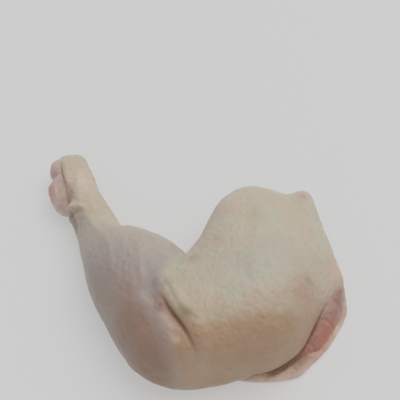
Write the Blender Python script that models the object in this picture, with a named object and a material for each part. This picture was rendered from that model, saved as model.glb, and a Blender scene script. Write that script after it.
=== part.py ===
"""Raw chicken leg with its skin on: drumstick and thigh in one piece, bent at the knee, lying skin side up.

Every fleshy form here is a loft between two rails drawn in plan: the inner rail follows the inside of the
bend and the outer rail the outside. A closed cross-section stands on each pair of rail points. It is widest
at the waist, rises to the crown, and closes below in a belly that is pressed flat where it meets the table.
The skinned body, the ankle joint that shows where the skin ends, the cut meat at the hip and the skin that
lies under that meat are all made this way, and are then fused into one solid.

Lengths in the tables are millimetres; X runs across the leg from ankle to hip, Y runs away from the knee.
The finished solid is in metres, with its origin under the middle of its box.
"""

from typing import NamedTuple

import bmesh
import bpy
import numpy as np
from mathutils import Matrix, Vector

MM = 0.001
LEG_NODE = "chicken_leg"

# How finely the lofts are faceted.
RINGS_PER_BAY = 4          # rings from one station to the next along the leg
CROWN_STEPS = 26           # facets over the top of a ring
BELLY_STEPS = 12           # facets under it
FUSED_RINGS_PER_BAY = 3
FUSED_CROWN_STEPS = 12
FUSED_BELLY_STEPS = 6
LINE_SAMPLES = 40          # samples along a crease line
WELD = 0.01                # points closer than this become one, which closes the ends

FUSED_GAP = 0.25           # the fused pieces stop this far above the table, which the skin alone touches

# The belly hangs from the waist by whichever is less: so many waist heights, or the waist height and
# this share of the half width. The table then cuts it flat. It fades in while the crown rises.
BELLY_WAISTS = 1.9
BELLY_WIDTH_SHARE = 0.3
BELLY_FADE_IN = 0.6        # crown rise, in waist heights, at which the belly is whole
BELLY_POWER = 0.9          # power of the belly's arch

CREASE_BELL = 2.5          # how fast a crease fades across: what is left at its width is exp(-2.5)
CREASE_FADE_POWER = 0.6    # how blunt its two ends are


class Station(NamedTuple):
    """One cross-section, named by where it stands on the leg."""

    name: str
    inner: tuple[float, float]   # plan point on the inside of the bend
    outer: tuple[float, float]   # plan point on the outside of the bend
    crown: float                 # height of the skin's top
    lean: float = 0.0            # how far the crown leans to the inner rail, in half widths
    waist: float = 12.0          # height of the widest level
    fullness: float = 1.0        # power of the crown's arch: 1 is an ellipse, less is flatter on top


class Crease(NamedTuple):
    """A long groove or ridge pressed into the top of the skin, fading out at both ends."""

    line: tuple[tuple[float, float], ...]   # plan points along it
    depth: float                            # how far the skin goes down; a ridge is negative
    width: float                            # distance from its middle to where it has nearly gone


SKIN_STATIONS = (
    Station("inside the joint", (-63.5, 48.5), (-63.5, 48.5), 9.5, 0.0, 9.5),
    Station("skin collar", (-71.0, 62.5), (-65.8, 34.0), 17.8, 0.0, 9.5),
    Station("ankle end", (-60.5, 64.0), (-65.2, 31.0), 19.6, 0.0, 9.5, 0.9),
    Station("ankle", (-54.6, 55.0), (-63.8, 28.0), 20.2, 0.0, 9.5, 0.95),
    Station("thinnest shank", (-49.0, 42.0), (-61.8, 24.0), 19.8, 0.0, 9.5),
    Station("shank", (-42.6, 29.0), (-59.6, 18.5), 20.0, 0.0, 10.0),
    Station("calf starts", (-35.0, 17.6), (-57.8, 11.5), 24.0, 0.0, 11.0),
    Station("upper calf", (-24.5, 13.4), (-55.2, 0.0), 31.0, 0.05, 13.0),
    Station("full calf", (-15.3, 8.6), (-51.5, -13.0), 35.0, 0.05, 14.0, 0.95),
    Station("calf by the notch", (-8.8, 3.8), (-45.6, -27.0), 36.5, 0.0, 14.0, 0.95),
    Station("knee pit", (-5.6, 0.2), (-38.5, -40.0), 37.5, -0.1, 14.0, 0.95),
    Station("knee", (-4.4, 0.4), (-29.0, -52.8), 39.0, -0.15, 13.0, 0.88),
    Station("knee tip", (-2.4, 4.6), (-18.0, -59.5), 41.0, -0.2, 12.0, 0.8),
    Station("thigh root", (0.6, 11.0), (-5.0, -61.8), 43.0, -0.25, 12.0, 0.75),
    Station("low thigh", (4.6, 20.6), (8.0, -60.0), 45.0, -0.3, 12.0, 0.73),
    Station("full thigh", (11.2, 32.4), (20.0, -57.0), 46.0, -0.32, 12.0, 0.75),
    Station("thigh crest", (24.3, 38.8), (31.5, -54.3), 46.0, -0.32, 12.0, 0.78),
    Station("high thigh", (40.5, 34.2), (41.0, -48.5), 43.0, -0.3, 12.0, 0.8),
    Station("skin corner", (51.8, 36.6), (49.0, -38.5), 37.5, -0.25, 12.0, 0.85),
    Station("hip side", (57.4, 21.5), (55.0, -26.5), 30.0, -0.15, 12.0, 0.9),
    Station("skin lip", (62.6, 2.0), (59.5, -17.5), 22.0, 0.0, 12.0),
    Station("lip end", (65.6, -9.0), (65.6, -9.0), 12.0, 0.0, 12.0),
)

JOINT_STATIONS = (
    Station("far end", (-68.5, 64.2), (-68.5, 64.2), 9.0, 0.0, 9.0),
    Station("upper lobe", (-60.0, 60.5), (-75.4, 57.0), 16.4, 0.0, 9.0, 0.9),
    Station("groove", (-58.5, 51.0), (-74.0, 50.2), 15.0, 0.0, 8.8, 0.9),
    Station("lower lobe", (-58.0, 43.5), (-75.0, 43.0), 15.8, 0.0, 8.6, 0.9),
    Station("lobe foot", (-59.0, 36.0), (-71.4, 35.4), 13.0, 0.0, 8.2),
    Station("near end", (-64.8, 31.0), (-64.8, 31.0), 8.0, 0.0, 8.0),
)

MEAT_STATIONS = (
    Station("front end", (20.0, -51.5), (20.0, -51.5), 5.0, 0.0, 5.0),
    Station("under the lip", (27.0, -42.0), (29.5, -53.4), 8.5, 0.0, 5.0),
    Station("front cut", (36.0, -38.0), (42.0, -50.8), 10.0, 0.0, 5.5),
    Station("dark cut", (42.0, -32.0), (50.6, -44.4), 11.0, 0.0, 6.0),
    Station("red cut", (46.0, -24.0), (58.2, -35.8), 12.0, 0.0, 6.0),
    Station("upper cut", (50.0, -14.0), (64.4, -25.3), 14.5, 0.0, 6.5),
    Station("rump", (54.0, -4.0), (67.2, -14.0), 16.0, 0.0, 7.0),
    Station("back end", (63.0, -2.0), (63.0, -2.0), 7.0, 0.0, 7.0),
)

UNDER_SKIN_STATIONS = (
    Station("front end", (14.0, -53.0), (14.0, -53.0), 1.8, 0.0, 1.8),
    Station("front fold", (22.0, -46.0), (26.0, -55.4), 3.6, 0.0, 1.8),
    Station("front rim", (34.0, -42.0), (42.5, -53.6), 4.0, 0.0, 1.8),
    Station("corner rim", (42.0, -36.0), (50.2, -47.4), 3.8, 0.0, 1.8),
    Station("middle rim", (48.0, -26.0), (59.8, -36.8), 3.2, 0.0, 1.8),
    Station("side rim", (54.0, -14.0), (66.6, -24.8), 3.6, 0.0, 1.8),
    Station("rump rim", (58.0, -6.0), (68.8, -14.5), 4.0, 0.0, 1.8),
    Station("back end", (63.0, 0.0), (63.0, 0.0), 1.8, 0.0, 1.8),
)

# What is fused with the skinned body: name, stations and finish.
FUSED_PIECES = (
    ("ankle_joint", JOINT_STATIONS, "cartilage"),
    ("cut_meat", MEAT_STATIONS, "cut_meat"),
    ("under_skin", UNDER_SKIN_STATIONS, "raw_skin"),
)

SKIN_CREASES = (
    Crease(((-18.5, -29.5), (-13.0, -39.0), (-7.7, -46.8), (-2.5, -57.0)), 3.2, 4.2),
    Crease(((-17.0, -21.0), (-9.5, -32.5), (-2.0, -43.5), (3.0, -54.0)), -1.8, 6.5),
)

FINISHES = {
    "raw_skin": ((0.51, 0.44, 0.36), 0.42),
    "cut_meat": ((0.36, 0.13, 0.10), 0.35),
    "cartilage": ((0.62, 0.50, 0.44), 0.35),
}


def curve_through(knots, where):
    """Catmull-Rom curve through every knot but the first and last, which only steer its ends.

    where counts knots from the second one, so 0 is knots[1] and 1.5 is half way past knots[2].
    """
    bay = np.clip(np.floor(where).astype(int), 0, len(knots) - 4)
    t = where - bay
    if knots.ndim > 1:
        t = t[:, None]
    before, start, end, after = (knots[bay + step] for step in range(4))
    leave, arrive = (end - before) / 2, (after - start) / 2
    return (
        (2 * t**3 - 3 * t**2 + 1) * start
        + (t**3 - 2 * t**2 + t) * leave
        + (3 * t**2 - 2 * t**3) * end
        + (t**3 - t**2) * arrive
    )


def closed_rail(rail, other):
    """A rail with the other rail's next points as guides, so that both meet in one round tip."""
    return np.vstack([other[1], rail, other[-2]])


def mirrored(values, sign=1.0):
    """Station values with a guide at each end, reflected evenly, or oddly for values that cross 0."""
    return np.concatenate([[sign * values[1]], values, [sign * values[-2]]])


def crease_relief(x, y, crease):
    """How far a crease lowers the skin over each plan point: a bell across it, a half sine along it."""
    knots = np.array(crease.line)
    knots = np.vstack([2 * knots[0] - knots[1], knots, 2 * knots[-1] - knots[-2]])
    along = np.linspace(0.0, 1.0, LINE_SAMPLES)
    line = curve_through(knots, along * (len(crease.line) - 1))
    gap = np.hypot(x[..., None] - line[:, 0], y[..., None] - line[:, 1])
    nearest = gap.argmin(axis=-1)
    fade = np.sin(np.pi * along[nearest]) ** CREASE_FADE_POWER
    return crease.depth * fade * np.exp(-CREASE_BELL * (gap.min(axis=-1) / crease.width) ** 2)


def ring_angles(crown_steps, belly_steps):
    """Angles round a ring from the inner rail: over the crown, then back under the belly."""
    over = np.linspace(0.0, np.pi, crown_steps, endpoint=False)
    under = np.linspace(np.pi, 2 * np.pi, belly_steps, endpoint=False)
    return np.concatenate([over, under])


def loft_rings(stations, rings_per_bay, angles, base=0.0, creases=()):
    """The loft's points, ring by ring, as an array of rings by points by coordinates.

    Across a ring, x and y go from the outer rail to the inner one as cos(angle) does, leaning by
    lean times sin(angle) squared. Over the waist the height adds the crown's rise times sin(angle)
    to the power of the fullness. Under it the belly goes down in the same way and stops at base.
    """
    inner = np.array([station.inner for station in stations])
    outer = np.array([station.outer for station in stations])
    waist = np.array([station.waist for station in stations])
    rise = np.array([station.crown for station in stations]) - waist
    lean = np.array([station.lean for station in stations])
    fullness = np.array([station.fullness for station in stations])

    where = np.linspace(0.0, len(stations) - 1, (len(stations) - 1) * rings_per_bay + 1)
    near = curve_through(closed_rail(inner, outer), where)
    far = curve_through(closed_rail(outer, inner), where)
    waist = curve_through(mirrored(waist), where)[:, None]
    rise = np.maximum(curve_through(mirrored(rise, -1.0), where), 0.0)[:, None]
    lean = curve_through(mirrored(lean), where)[:, None]
    fullness = curve_through(mirrored(fullness), where)[:, None]

    arch = np.abs(np.sin(angles))[None, :]
    on_top = (np.sin(angles) > 0)[None, :]
    across = np.cos(angles)[None, :] + np.where(on_top, lean * arch**2, 0.0)
    middle, half = (near + far) / 2, (near - far) / 2
    x = middle[:, :1] + across * half[:, :1]
    y = middle[:, 1:] + across * half[:, 1:]

    half_width = np.hypot(half[:, :1], half[:, 1:])
    deep = np.minimum(BELLY_WAISTS * waist, waist + BELLY_WIDTH_SHARE * half_width)
    deep = deep * np.clip(rise / (BELLY_FADE_IN * waist), 0.0, 1.0)
    crown = waist + rise * arch**fullness
    for crease in creases:
        crown = crown - crease_relief(x, y, crease) * arch
    belly = np.maximum(base, waist - deep * arch**BELLY_POWER)
    return np.stack([x, y, np.where(on_top, crown, belly)], axis=-1)


def new_object(name, bm, finish):
    """A smooth-shaded object made from bm, with its own finish, in the scene's collection."""
    bmesh.ops.recalc_face_normals(bm, faces=bm.faces)
    mesh = bpy.data.meshes.new(name)
    bm.to_mesh(mesh)
    bm.free()
    mesh.shade_smooth()
    mesh.materials.append(material(finish))
    piece = bpy.data.objects.new(name, mesh)
    bpy.context.scene.collection.objects.link(piece)
    return piece


def material(name):
    """The Principled material of one finish."""
    color, roughness = FINISHES[name]
    finish = bpy.data.materials.new(name)
    finish.use_nodes = True
    shader = finish.node_tree.nodes["Principled BSDF"]
    shader.inputs["Base Color"].default_value = (*color, 1.0)
    shader.inputs["Roughness"].default_value = roughness
    shader.inputs["Metallic"].default_value = 0.0
    return finish


def loft(name, rings, finish):
    """A closed loft: each ring is joined to the next, and the end rings shrink to one point."""
    bm = bmesh.new()
    loops = [[bm.verts.new(Vector(point) * MM) for point in ring] for ring in rings]
    for first, second in zip(loops, loops[1:]):
        for corner in range(len(first)):
            bm.faces.new((first[corner - 1], first[corner], second[corner], second[corner - 1]))
    bmesh.ops.remove_doubles(bm, verts=bm.verts, dist=WELD * MM)
    bmesh.ops.triangulate(bm, faces=bm.faces)
    return new_object(name, bm, finish)


def fuse(body, pieces):
    """Unites the pieces with the body in one Boolean, and removes them."""
    group = bpy.data.collections.new("fused_pieces")
    for piece in pieces:
        group.objects.link(piece)
    union = body.modifiers.new("fuse", "BOOLEAN")
    union.operation = "UNION"
    union.operand_type = "COLLECTION"
    union.collection = group
    union.solver = "EXACT"
    union.material_mode = "TRANSFER"
    bpy.context.scene.collection.children.link(group)
    bpy.context.view_layer.update()
    fused = bpy.data.meshes.new_from_object(body.evaluated_get(bpy.context.evaluated_depsgraph_get()))
    body.modifiers.remove(union)
    body.data = fused
    for piece in pieces:
        bpy.data.objects.remove(piece)
    bpy.data.collections.remove(group)


def set_origin_under_middle(body):
    """Moves the mesh so that the object's origin is under the middle of its box, on the table."""
    low = Vector([min(corner[axis] for corner in body.bound_box) for axis in range(3)])
    high = Vector([max(corner[axis] for corner in body.bound_box) for axis in range(3)])
    middle = (low + high) / 2
    body.data.transform(Matrix.Translation((-middle.x, -middle.y, -low.z)))


def build_leg():
    """The whole leg as one object."""
    skin_angles = ring_angles(CROWN_STEPS, BELLY_STEPS)
    skin_rings = loft_rings(SKIN_STATIONS, RINGS_PER_BAY, skin_angles, creases=SKIN_CREASES)
    leg = loft(LEG_NODE, skin_rings, "raw_skin")
    fused_angles = ring_angles(FUSED_CROWN_STEPS, FUSED_BELLY_STEPS)
    pieces = [
        loft(name, loft_rings(stations, FUSED_RINGS_PER_BAY, fused_angles, FUSED_GAP), finish)
        for name, stations, finish in FUSED_PIECES
    ]
    fuse(leg, pieces)
    set_origin_under_middle(leg)
    return leg


def main():
    """Empties the scene and builds the leg in it."""
    for old in list(bpy.data.objects):
        bpy.data.objects.remove(old)
    build_leg()


main()
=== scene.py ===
"""The looks of a raw chicken leg: drumstick and thigh in one piece, skin side up on a pale table.

Four pieces stand for the leg's one solid: the skin, the ankle joint that shows where the skin ends, the
cut meat at the hip, and the skin that lies under that meat. Each is a loft between two rails drawn in
plan, computed as one grid of points. Relief is then laid along the grid's normals, and soft masks of the
same size as the grid tell the finishes where the dark meat, blushes, fat and creases show, and where
shade and light are painted into the colour.

Tables and reliefs are in millimetres in the drawing's own frame, and drawing_place gives the step from
there to the solid.
"""

import itertools
import logging
from dataclasses import dataclass, field
from enum import Enum

import bpy
import numpy as np
from mathutils import Matrix, Vector


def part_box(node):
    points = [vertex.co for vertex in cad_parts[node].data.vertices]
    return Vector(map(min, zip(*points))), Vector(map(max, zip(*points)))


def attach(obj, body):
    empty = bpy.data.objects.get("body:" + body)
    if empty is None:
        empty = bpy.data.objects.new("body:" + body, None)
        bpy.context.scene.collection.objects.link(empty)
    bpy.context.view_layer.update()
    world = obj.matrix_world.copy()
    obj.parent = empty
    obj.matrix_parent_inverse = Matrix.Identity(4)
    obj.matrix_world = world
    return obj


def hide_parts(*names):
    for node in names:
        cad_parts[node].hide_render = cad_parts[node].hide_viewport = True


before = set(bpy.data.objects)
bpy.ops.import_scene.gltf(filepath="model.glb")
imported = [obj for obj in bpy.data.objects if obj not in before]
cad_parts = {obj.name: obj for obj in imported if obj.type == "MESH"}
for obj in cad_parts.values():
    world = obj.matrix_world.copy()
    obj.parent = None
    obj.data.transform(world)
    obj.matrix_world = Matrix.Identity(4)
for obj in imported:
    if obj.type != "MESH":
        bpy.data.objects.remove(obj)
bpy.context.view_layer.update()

log = logging.getLogger("chicken_leg")

Array = np.ndarray
Point = tuple[float, float]
Tree = bpy.types.NodeTree
Socket = bpy.types.NodeSocket

MM = 0.001
LEG_NODE = "chicken_leg"
BODY = "root"

# Sockets of a colour Mix node.
MIX_FACTOR, MIX_A, MIX_B, MIX_RESULT = 0, 6, 7, 2

NOISE_CORNERS = 256            # lattice corners before the noise repeats, a power of two
NOISE_GAIN = 1.6               # brings the blended slopes to about -1 to 1
SPOT_TILE = 64                 # spots before their shaking repeats, a power of two
SPOT_SHAKE = 0.26              # how far a spot is shaken out of its row, in steps
DAB_HALF = 0.3                 # half the length of the short line that stands for a round patch, in mm
INNER_BASE = 0.25              # underside of all pieces but the skin, so that the leg rests on that, in mm


# ---------------------------------------------------------------------------------------------- maths


def smooth_step(low: float, high: float, values: Array) -> Array:
    """A soft switch: 0 up to low, 1 from high, and three t squared less two t cubed between.

    Args:
        low: The value where the switch starts.
        high: The value where it is fully on.
        values: The values to switch.

    Returns:
        The switch for each value.
    """
    t = np.clip((values - low) / (high - low), 0.0, 1.0)
    return t * t * (3.0 - 2.0 * t)


def bell(values: Array, width: float) -> Array:
    """A bell curve: 1 at zero, and e to the minus one at width."""
    return np.exp(-((values / width) ** 2))


def end_fade(along: Array, taper: float = 0.5) -> Array:
    """A half sine over a line's length, to the power of the taper: 0 at the line's ends."""
    return np.sin(np.pi * np.clip(along, 0.0, 1.0)) ** taper


def curve_through(knots: Array, where: Array) -> Array:
    """A Catmull-Rom curve through every knot but the first and last, which only steer its ends.

    Between two knots the curve is the cubic that starts and ends on them, with slopes of half the step
    from the knot before to the knot after.

    Args:
        knots: The knots, one row each, or a plain list of values.
        where: Places along the curve; 0 is the second knot and 1 the third.

    Returns:
        The curve at each place.
    """
    bay = np.clip(np.floor(where).astype(int), 0, len(knots) - 4)
    t = where - bay
    if knots.ndim > 1:
        t = t[:, None]
    before, start, end, after = (knots[bay + step] for step in range(4))
    leave, arrive = (end - before) / 2, (after - start) / 2
    return (
        (2 * t**3 - 3 * t**2 + 1) * start
        + (t**3 - 2 * t**2 + t) * leave
        + (3 * t**2 - 2 * t**3) * end
        + (t**3 - t**2) * arrive
    )


def lattice_noise(points: Array, grain: float, seed: int) -> Array:
    """Gradient noise: random slopes at the corners of a cubic lattice, faded into each other.

    At each corner the slope is multiplied by the offset from that corner, and the eight results are
    blended by t cubed times (6 t squared less 15 t plus 10) along each axis.

    Args:
        points: Points, with their coordinates last.
        grain: The lattice's step, about the size of one bump.
        seed: Picks the random slopes.

    Returns:
        Noise from about -1 to 1, one value a point.
    """
    rng = np.random.default_rng(seed)
    table = rng.permutation(NOISE_CORNERS)
    slopes = rng.normal(size=(NOISE_CORNERS, 3))
    slopes /= np.linalg.norm(slopes, axis=1, keepdims=True)
    cell = np.floor(points / grain).astype(int)
    part = points / grain - cell
    fade = part**3 * (part * (part * 6 - 15) + 10)
    last = NOISE_CORNERS - 1
    total = np.zeros(points.shape[:-1])
    for corner in itertools.product((0, 1), repeat=3):
        index = (cell + corner) & last
        hashed = table[(table[index[..., 0]] + index[..., 1]) & last]
        hashed = table[(hashed + index[..., 2]) & last]
        weight = np.prod(np.where(corner, fade, 1.0 - fade), axis=-1)
        total += weight * ((part - corner) * slopes[hashed]).sum(axis=-1)
    return total * NOISE_GAIN


def spots(x: Array, y: Array, spacing: float, radius: float, seed: int) -> Array:
    """Bells on a shaken square lattice, each row shifted by half a step.

    Args:
        x: First coordinate of the points.
        y: Second coordinate of the points.
        spacing: Distance from one spot to the next.
        radius: Distance at which a spot has faded to e to the minus one.
        seed: Picks how each spot is shaken out of its row.

    Returns:
        1 at a spot's middle, 0 between the spots.
    """
    rng = np.random.default_rng(seed)
    shake = rng.uniform(-SPOT_SHAKE, SPOT_SHAKE, size=(SPOT_TILE, SPOT_TILE, 2))
    row = np.floor(y / spacing).astype(int)
    nearest = np.full(x.shape, np.inf)
    for step_row, step_column in itertools.product((-1, 0, 1), repeat=2):
        at_row = row + step_row
        stagger = 0.5 * (at_row & 1)
        at_column = np.floor(x / spacing - stagger).astype(int) + step_column
        offset = shake[at_row & (SPOT_TILE - 1), at_column & (SPOT_TILE - 1)]
        gap_x = x / spacing - (at_column + 0.5 + stagger + offset[..., 0])
        gap_y = y / spacing - (at_row + 0.5 + offset[..., 1])
        nearest = np.minimum(nearest, np.hypot(gap_x, gap_y))
    return bell(nearest * spacing, radius)

# --------------------------------------------------------------------------------------------- shapes


@dataclass(frozen=True)
class Station:
    """One cross-section of a loft, in millimetres.

    Attributes:
        inner: Plan point on the inner rail, which follows the inside of the bend.
        outer: Plan point on the outer rail.
        crown: Height of its top.
        lean: How far the crown leans to the inner rail, in half widths.
        waist: Height of its widest level.
        fullness: Power of the crown's arch; 1 is an ellipse and less is flatter on top.
        tuck: How far the wall draws in under the outer rail's waist.
    """

    inner: Point
    outer: Point
    crown: float
    lean: float = 0.0
    waist: float = 12.0
    fullness: float = 1.0
    tuck: float = 0.0


@dataclass
class Grid:
    """A closed surface as rings of points, in millimetres.

    Attributes:
        points: Rings by columns by coordinates.
        station: Station number of each ring, as a column.
        angle: Angle of each column round the ring, as a row: 0 on the inner rail, a half turn on the
            outer one, and the crown between them.
    """

    points: Array
    station: Array
    angle: Array

    WAIST_EDGE = 0.12              # half the soft edge at the waist, as a sine of the angle
    SETTLED = 3.0                  # height over the floor at which relief has its full height
    TINY = 1e-9

    @property
    def x(self) -> Array:
        """Plan x of the points."""
        return self.points[..., 0]

    @property
    def y(self) -> Array:
        """Plan y of the points."""
        return self.points[..., 1]

    @property
    def z(self) -> Array:
        """Height of the points."""
        return self.points[..., 2]

    @property
    def on_top(self) -> Array:
        """1 over the crown and 0 under the waist, with a soft edge at the waist."""
        crowned = smooth_step(-self.WAIST_EDGE, self.WAIST_EDGE, np.sin(self.angle))
        return np.broadcast_to(crowned, self.z.shape)

    def normals(self) -> Array:
        """Outward normals: the step along a column crossed with the step round the ring.

        Returns:
            A unit vector for each point.
        """
        wrapped = np.concatenate([self.points[:, -1:], self.points, self.points[:, :1]], axis=1)
        around = wrapped[:, 2:] - wrapped[:, :-2]
        along = np.gradient(self.points, axis=0)
        normal = np.cross(along, around)
        length = np.linalg.norm(normal, axis=-1, keepdims=True)
        normal = normal / np.maximum(length, self.TINY)
        outward = ((self.points - self.points.mean(axis=1, keepdims=True)) * normal).sum()
        return normal * np.sign(outward)

    def pole_fade(self, rings: int) -> Array:
        """0 at both closed ends and 1 from so many rings in, so that relief leaves the ends closed.

        Args:
            rings: How many rings it takes.

        Returns:
            One value for each ring, as a column.
        """
        count = np.arange(len(self.points))
        near = np.minimum(count, count[::-1])
        return smooth_step(0.0, float(rings), near.astype(float))[:, None]

    def raised(self, height: Array, floor: float) -> "Grid":
        """The grid with relief laid along its normals.

        Args:
            height: How far each point moves out, in millimetres.
            floor: The lowest that a point may reach.

        Returns:
            The new grid.
        """
        settled = smooth_step(floor, floor + self.SETTLED, self.z)
        moved = self.points + self.normals() * (height * settled)[..., None]
        moved[..., 2] = np.maximum(moved[..., 2], floor)
        return Grid(moved, self.station, self.angle)

    def shifted(self, x: Array, y: Array) -> "Grid":
        """The grid with every point moved in plan by its own amount.

        Args:
            x: How far each point moves along x, in millimetres.
            y: How far it moves along y.

        Returns:
            The new grid.
        """
        moved = self.points.copy()
        moved[..., 0] += x
        moved[..., 1] += y
        return Grid(moved, self.station, self.angle)

    def mesh(self, name: str, place: Vector, masks: dict[str, Array]) -> bpy.types.Object:
        """The grid as a smooth mesh object at the origin, its ends closed by fans.

        Args:
            name: The piece's name.
            place: What is added to the drawing's millimetres to reach the solid's frame.
            masks: Values for each point, stored as attributes of the mesh by their names.

        Returns:
            The linked object.
        """
        rings, columns = self.z.shape
        inside = self.points[1:-1].reshape(-1, 3)
        points = np.vstack([inside, self.points[:1, 0], self.points[-1:, 0]])
        points = (points + np.array(place)) * MM
        first = np.arange(columns)
        second = (first + 1) % columns
        start = (np.arange(rings - 3) * columns)[:, None]
        quads = np.stack(
            [start + first, start + second, start + columns + second, start + columns + first], axis=-1
        ).reshape(-1, 4)
        last = (rings - 3) * columns
        low_pole, high_pole = len(inside), len(inside) + 1
        low_fan = np.stack([second, first, np.full(columns, low_pole)], axis=-1)
        high_fan = np.stack([last + first, last + second, np.full(columns, high_pole)], axis=-1)
        mesh = bpy.data.meshes.new(name)
        mesh.from_pydata(points.tolist(), [], quads.tolist() + low_fan.tolist() + high_fan.tolist())
        if signed_volume(mesh) < 0.0:
            mesh.flip_normals()
        for label, mask in masks.items():
            mask = np.broadcast_to(mask, self.z.shape)
            values = np.concatenate([mask[1:-1].ravel(), mask[0, :1], mask[-1, :1]])
            layer = mesh.attributes.new(label, "FLOAT", "POINT")
            layer.data.foreach_set("value", values.astype(np.float32))
        mesh.shade_smooth()
        mesh.update()
        piece = bpy.data.objects.new(name, mesh)
        bpy.context.scene.collection.objects.link(piece)
        return piece


def signed_volume(mesh: bpy.types.Mesh) -> float:
    """Volume inside a closed mesh, negative where it is inside out.

    It is a sixth of the sum, over the triangles, of one corner times the cross product of the others.

    Args:
        mesh: The mesh.

    Returns:
        The volume, in cubic metres.
    """
    points = np.empty(len(mesh.vertices) * 3)
    mesh.vertices.foreach_get("co", points)
    mesh.calc_loop_triangles()
    corners = np.empty(len(mesh.loop_triangles) * 3, dtype=np.int32)
    mesh.loop_triangles.foreach_get("vertices", corners)
    a, b, c = points.reshape(-1, 3)[corners.reshape(-1, 3)].transpose(1, 0, 2)
    return float((a * np.cross(b, c)).sum() / 6.0)


@dataclass(frozen=True)
class Loft:
    """A closed body between two rails.

    Attributes:
        stations: Its cross-sections, from one closed end to the other.
        rings_per_bay: Rings from one station to the next.
        crown_steps: Columns over the crown.
        belly_steps: Columns under the waist.
        base: Height at which the belly is cut flat.
        undercut: How far the inner wall draws in under the waist, as a share of the half width.
    """

    stations: tuple[Station, ...]
    rings_per_bay: int
    crown_steps: int
    belly_steps: int
    base: float = 0.0
    undercut: float = 0.0

    BELLY_WAISTS = 1.9             # the belly's depth is at most so many times the waist's height,
    BELLY_WIDTH_SHARE = 0.3        # and at most that height and this share of the half width
    BELLY_FADE_IN = 0.6            # rise of the crown at which the depth is full, in waist heights
    BELLY_POWER = 0.9
    TUCK_HEIGHT = 3.2              # how far under the waist the tuck is full, in mm
    FLANK = 0.5                    # cosine of the angle past which the whole undercut counts

    def _values(self, name: str, where: Array) -> Array:
        """One of the stations' values along the loft, by a Catmull-Rom curve mirrored past its ends.

        Args:
            name: The value's name.
            where: Places along the loft, in stations.

        Returns:
            The value at each place, as a column.
        """
        values = np.array([getattr(station, name) for station in self.stations])
        values = np.concatenate([values[1:2], values, values[-2:-1]])
        return curve_through(values, where)[:, None]

    def grid(self) -> Grid:
        """The loft's points.

        Each rail is a Catmull-Rom curve whose guides are the other rail's next points, so both meet in
        a round tip. Across a ring, plan points go from the outer rail to the inner one as the cosine
        of the angle, plus lean times its sine squared over the crown. The crown's height is the waist
        plus the rise times the sine to the power of the fullness. The belly's is the waist less its
        depth times the sine to a fixed power, cut off at the base, and its outer wall draws in by the
        tuck and the inner one by the undercut.

        Returns:
            The grid, in the drawing's frame.
        """
        inner = np.array([station.inner for station in self.stations])
        outer = np.array([station.outer for station in self.stations])
        bays = len(self.stations) - 1
        where = np.linspace(0.0, bays, bays * self.rings_per_bay + 1)
        near = curve_through(np.vstack([outer[1], inner, outer[-2]]), where)
        far = curve_through(np.vstack([inner[1], outer, inner[-2]]), where)
        waist = self._values("waist", where)
        crown = np.array([station.crown - station.waist for station in self.stations])
        crown = np.concatenate([[-crown[1]], crown, [-crown[-2]]])
        rise = np.maximum(curve_through(crown, where), 0.0)[:, None]
        lean = self._values("lean", where)
        fullness = self._values("fullness", where)
        tuck = np.maximum(self._values("tuck", where), 0.0)

        angle = np.concatenate(
            [
                np.linspace(0.0, np.pi, self.crown_steps, endpoint=False),
                np.linspace(np.pi, 2 * np.pi, self.belly_steps, endpoint=False),
            ]
        )[None, :]
        arch = np.abs(np.sin(angle))
        crowned = np.sin(angle) > 0
        middle, half = (near + far) / 2, (near - far) / 2
        half_width = np.hypot(half[:, :1], half[:, 1:])
        deep = np.minimum(self.BELLY_WAISTS * waist, waist + self.BELLY_WIDTH_SHARE * half_width)
        deep = deep * np.clip(rise / (self.BELLY_FADE_IN * waist), 0.0, 1.0)
        top = waist + rise * arch**fullness
        belly = np.maximum(self.base, waist - deep * arch**self.BELLY_POWER)
        z = np.where(crowned, top, belly)

        drawn_in = tuck * smooth_step(0.0, self.TUCK_HEIGHT, waist - z) * (1 - np.cos(angle)) / 2
        across = np.cos(angle) + np.where(crowned, lean * arch**2, 0.0)
        across = across + np.where(crowned, 0.0, drawn_in / np.maximum(half_width, 1.0))
        inner_wall = smooth_step(-self.FLANK, self.FLANK, np.cos(angle))
        inner_wall = inner_wall * smooth_step(0.0, 1.0, (waist - z) / waist)
        across = across * (1.0 - self.undercut * inner_wall)
        x = middle[:, :1] + across * half[:, :1]
        y = middle[:, 1:] + across * half[:, 1:]
        return Grid(np.stack([x, y, z], axis=-1), where[:, None], angle)


@dataclass(frozen=True)
class PlanLine:
    """A smooth line drawn in plan through a few points, in millimetres."""

    points: tuple[Point, ...]
    samples: int = 64

    def reach(self, grid: Grid) -> tuple[Array, Array]:
        """Where a grid's points lie in plan from the line, by the nearest of its samples.

        Args:
            grid: The grid.

        Returns:
            The distance, positive on the left of the line's way, and the share of the way along it.
        """
        knots = np.array(self.points)
        knots = np.vstack([2 * knots[0] - knots[1], knots, 2 * knots[-1] - knots[-2]])
        along = np.linspace(0.0, 1.0, self.samples)
        line = curve_through(knots, along * (len(self.points) - 1))
        way = np.gradient(line, axis=0)
        gap_x, gap_y = grid.x[..., None] - line[:, 0], grid.y[..., None] - line[:, 1]
        nearest = (gap_x**2 + gap_y**2).argmin(axis=-1)
        gap_x = np.take_along_axis(gap_x, nearest[..., None], axis=-1)[..., 0]
        gap_y = np.take_along_axis(gap_y, nearest[..., None], axis=-1)[..., 0]
        side = np.sign(way[nearest, 0] * gap_y - way[nearest, 1] * gap_x)
        return side * np.hypot(gap_x, gap_y), along[nearest]


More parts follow.
